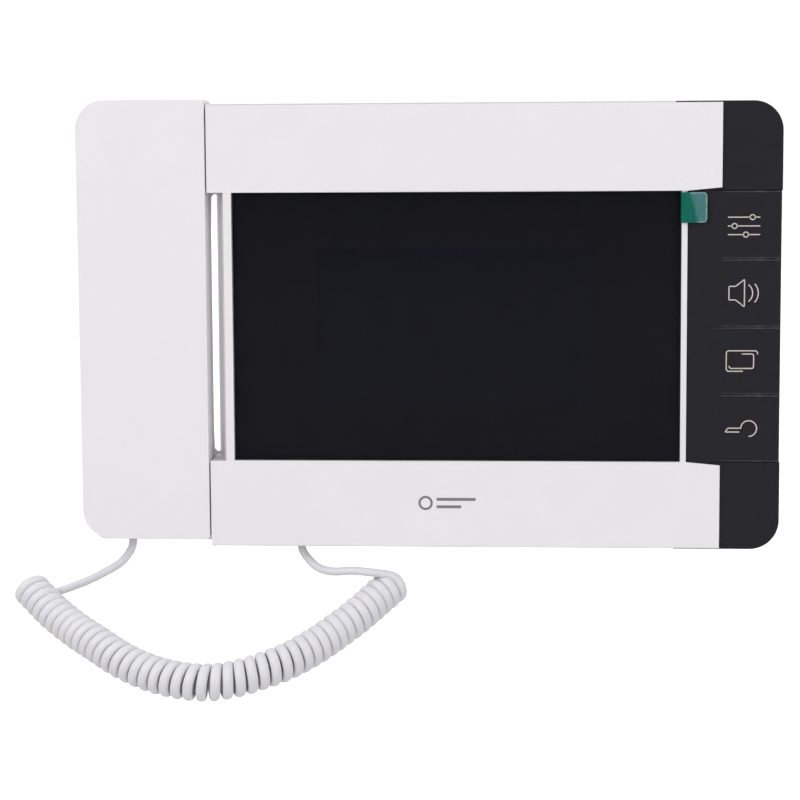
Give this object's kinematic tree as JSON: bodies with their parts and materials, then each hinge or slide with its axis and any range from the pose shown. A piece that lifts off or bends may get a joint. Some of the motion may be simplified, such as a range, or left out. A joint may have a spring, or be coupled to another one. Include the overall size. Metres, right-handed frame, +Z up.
{
  "type": "video intercom monitor",
  "caption": "Wall-mounted video intercom monitor: white case with a dark screen window, a column of black keys and a lift-off handset on a curly cord.",
  "frame": {"origin": "centre of the wall bracket's screw pattern, on the wall plane", "axes": "+X to the viewer's right along the width, +Y into the wall, +Z up"},
  "size_m": [0.2682, 0.0565, 0.2026],
  "materials": {
    "white_plastic": "fine spark-eroded texture, satin",
    "case_plastic": "fine texture, matt",
    "black_plastic": "satin black",
    "key_plastic": "satin black with pale printed symbols",
    "dark_glass": "smoked acrylic, polished",
    "lcd_glass": "polariser, switched off",
    "backlight": "white moulding",
    "foam": "foam",
    "clear_film": "thin clear film",
    "green_film": "thin glossy film, green",
    "zinc_steel": "zinc plated",
    "screw_steel": "zinc plated",
    "circuit_board": "solder mask",
    "component_black": "moulded",
    "ribbon": "flat cable",
    "flex_orange": "polyimide",
    "capacitor": "sleeved can",
    "copper_winding": "enamelled wire",
    "connector_green": "moulded",
    "speaker_metal": "pressed metal",
    "contact_brass": "spring brass",
    "clear_plastic": "clear polycarbonate",
    "rubber_black": "moulded rubber",
    "cord_white": "soft PVC jacket, satin"
  },
  "bodies": {
    "base": {"wall_bracket": "zinc_steel", "rear_housing": "case_plastic", "housing_screws": "screw_steel", "front_frame": "white_plastic", "end_cover": "black_plastic", "key_frame": "black_plastic", "key_board": "circuit_board", "key_switches": "component_black", "key_ribbon": "ribbon", "screen_glass": "dark_glass", "glass_tape": "foam", "screen_film": "clear_film", "film_tab": "green_film", "lcd_panel": "lcd_glass", "lcd_backlight": "backlight", "lcd_pads": "foam", "lcd_ribbon": "flex_orange", "main_board": "circuit_board", "board_chips": "component_black", "board_capacitors": "capacitor", "board_transformer": "copper_winding", "line_connector": "connector_green", "board_screws": "screw_steel", "loudspeaker": "speaker_metal", "hook_leaf": "contact_brass", "hook_switch": "component_black", "base_jack": "component_black", "base_plug": "clear_plastic", "cord_handset_lead": "cord_white", "cord_coil": "cord_white", "cord_base_lead": "cord_white"},
    "handset": {"handset_cover": "white_plastic", "handset_back": "white_plastic", "handset_screws": "screw_steel", "earpiece": "speaker_metal", "earpiece_gasket": "foam", "microphone": "speaker_metal", "microphone_boot": "rubber_black", "handset_weight": "zinc_steel", "handset_jack": "component_black", "handset_plug": "clear_plastic"},
    "plunger": {"hook_plunger": "white_plastic"},
    "settings_key": {"key_settings": "key_plastic"},
    "speaker_key": {"key_speaker": "key_plastic"},
    "monitor_key": {"key_monitor": "key_plastic"},
    "unlock_key": {"key_unlock": "key_plastic"}
  },
  "joints": [
    {"name": "handset_lift", "type": "slide", "parent": "base", "child": "handset", "axis": [0, -1, 0], "range_m": [0, 0.05]},
    {"name": "plunger_slide", "type": "slide", "parent": "base", "child": "plunger", "axis": [0, -1, 0], "range_m": [0, 0.002]},
    {"name": "settings_key_press", "type": "hinge", "parent": "base", "child": "settings_key", "pos_m": [0.0754, -0.0173, 0.03472], "axis": [0, 0, 1], "range_deg": [0, 2.2], "stiffness_Nm_per_rad": 0.3},
    {"name": "speaker_key_press", "type": "hinge", "parent": "base", "child": "speaker_key", "pos_m": [0.0754, -0.0173, 0.01158], "axis": [0, 0, 1], "range_deg": [0, 2.2], "stiffness_Nm_per_rad": 0.3},
    {"name": "monitor_key_press", "type": "hinge", "parent": "base", "child": "monitor_key", "pos_m": [0.0754, -0.0173, -0.01158], "axis": [0, 0, 1], "range_deg": [0, 2.2], "stiffness_Nm_per_rad": 0.3},
    {"name": "unlock_key_press", "type": "hinge", "parent": "base", "child": "unlock_key", "pos_m": [0.0754, -0.0173, -0.03472], "axis": [0, 0, 1], "range_deg": [0, 2.2], "stiffness_Nm_per_rad": 0.3}
  ],
  "couplings": [
    {"joint": "plunger_slide", "follows": "handset_lift", "ratio": 0.04}
  ]
}
